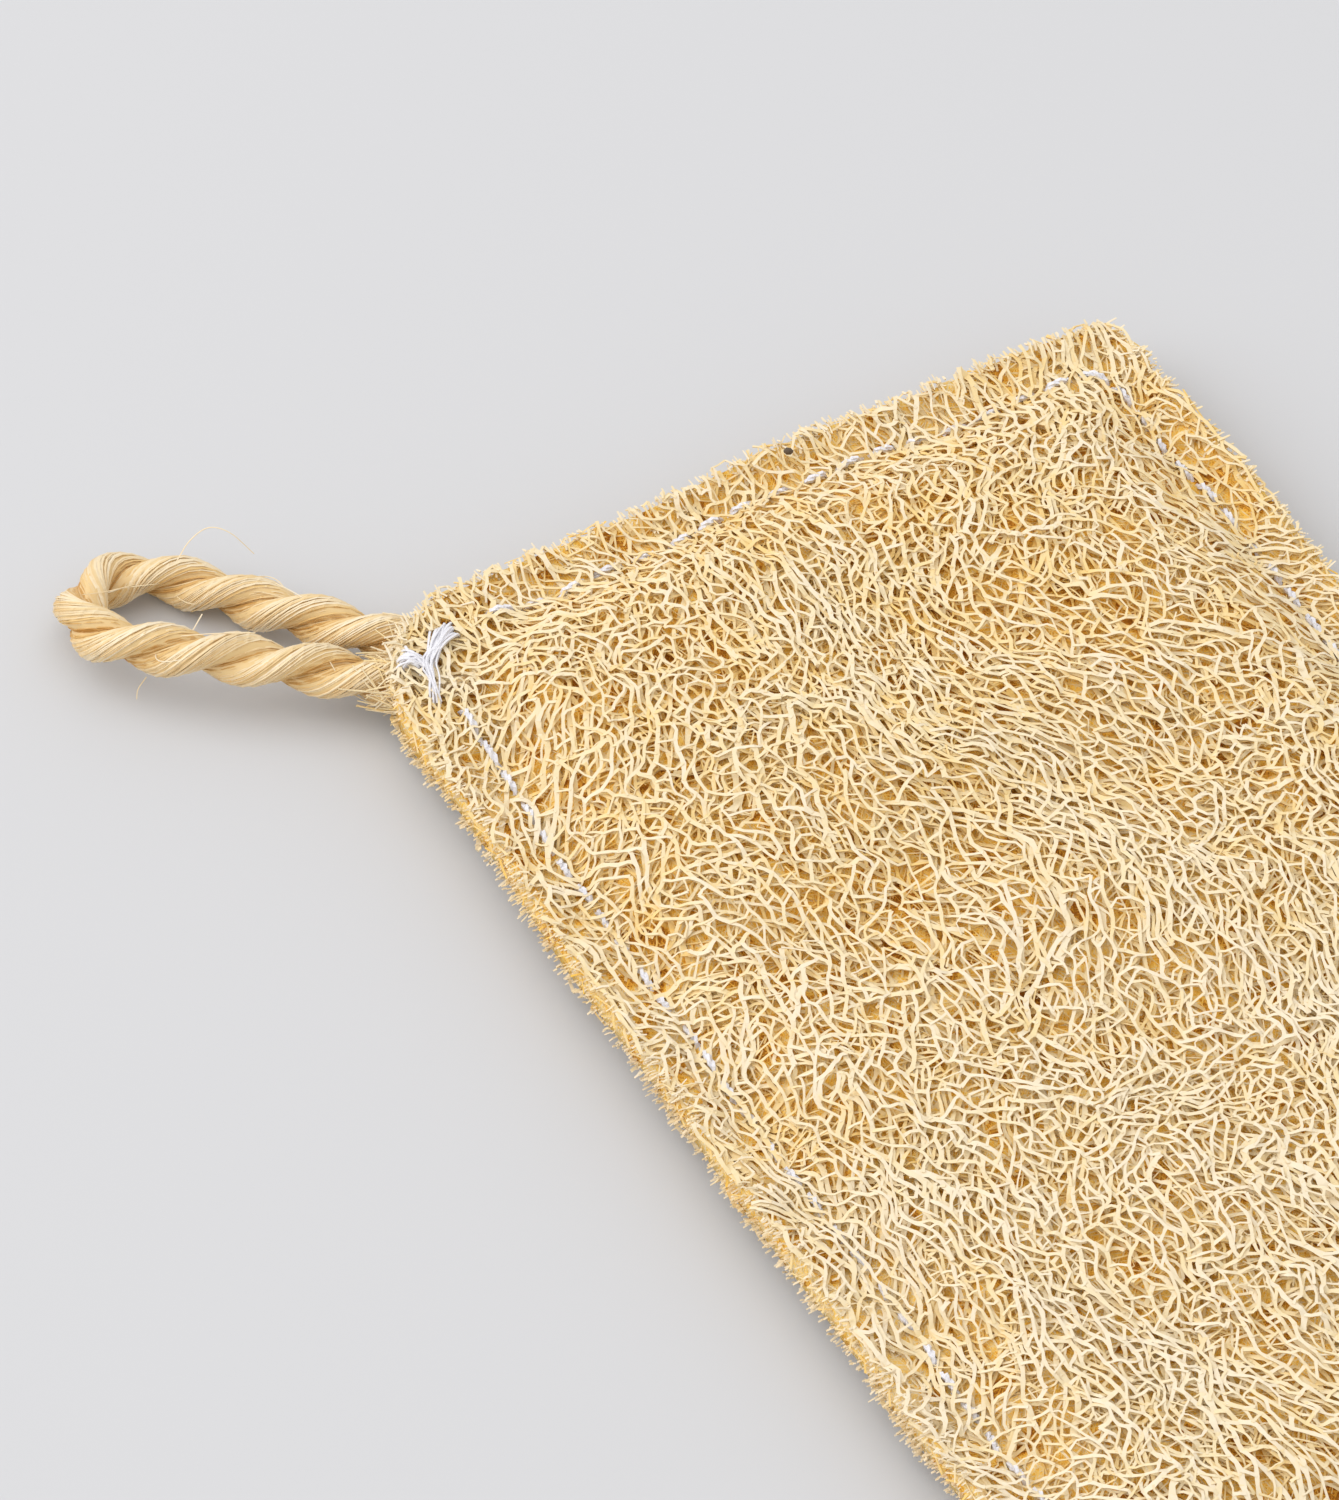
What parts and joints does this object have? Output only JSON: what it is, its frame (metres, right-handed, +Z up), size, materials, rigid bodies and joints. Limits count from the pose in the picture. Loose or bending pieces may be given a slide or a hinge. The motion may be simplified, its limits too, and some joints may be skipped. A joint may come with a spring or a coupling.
{
  "type": "sewn natural loofah bath pad with a cord loop",
  "caption": "Flat rectangular bath pad sewn from two pressed layers of natural loofah, with a white seam inside the frayed hem and a twisted cord hanging loop at one corner.",
  "frame": {"origin": "centre of the footprint of the pad without its loop, on the surface that the pad rests on", "axes": "+X along the pad's length away from the loop's end, +Y across the pad away from the loop's corner, +Z up out of the upper face"},
  "size_m": [0.1762, 0.1159, 0.0129],
  "materials": {
    "loofah": "matt dry fibre net",
    "cord": "silky twisted plant fibre",
    "thread": "matt white cotton"
  },
  "bodies": {
    "root": {"loofah_top_layer": "loofah", "loofah_bottom_layer": "loofah", "hanging_loop": "cord", "seam_thread_top": "thread", "seam_thread_bottom": "thread", "corner_tack_thread": "thread"}
  },
  "joints": []
}
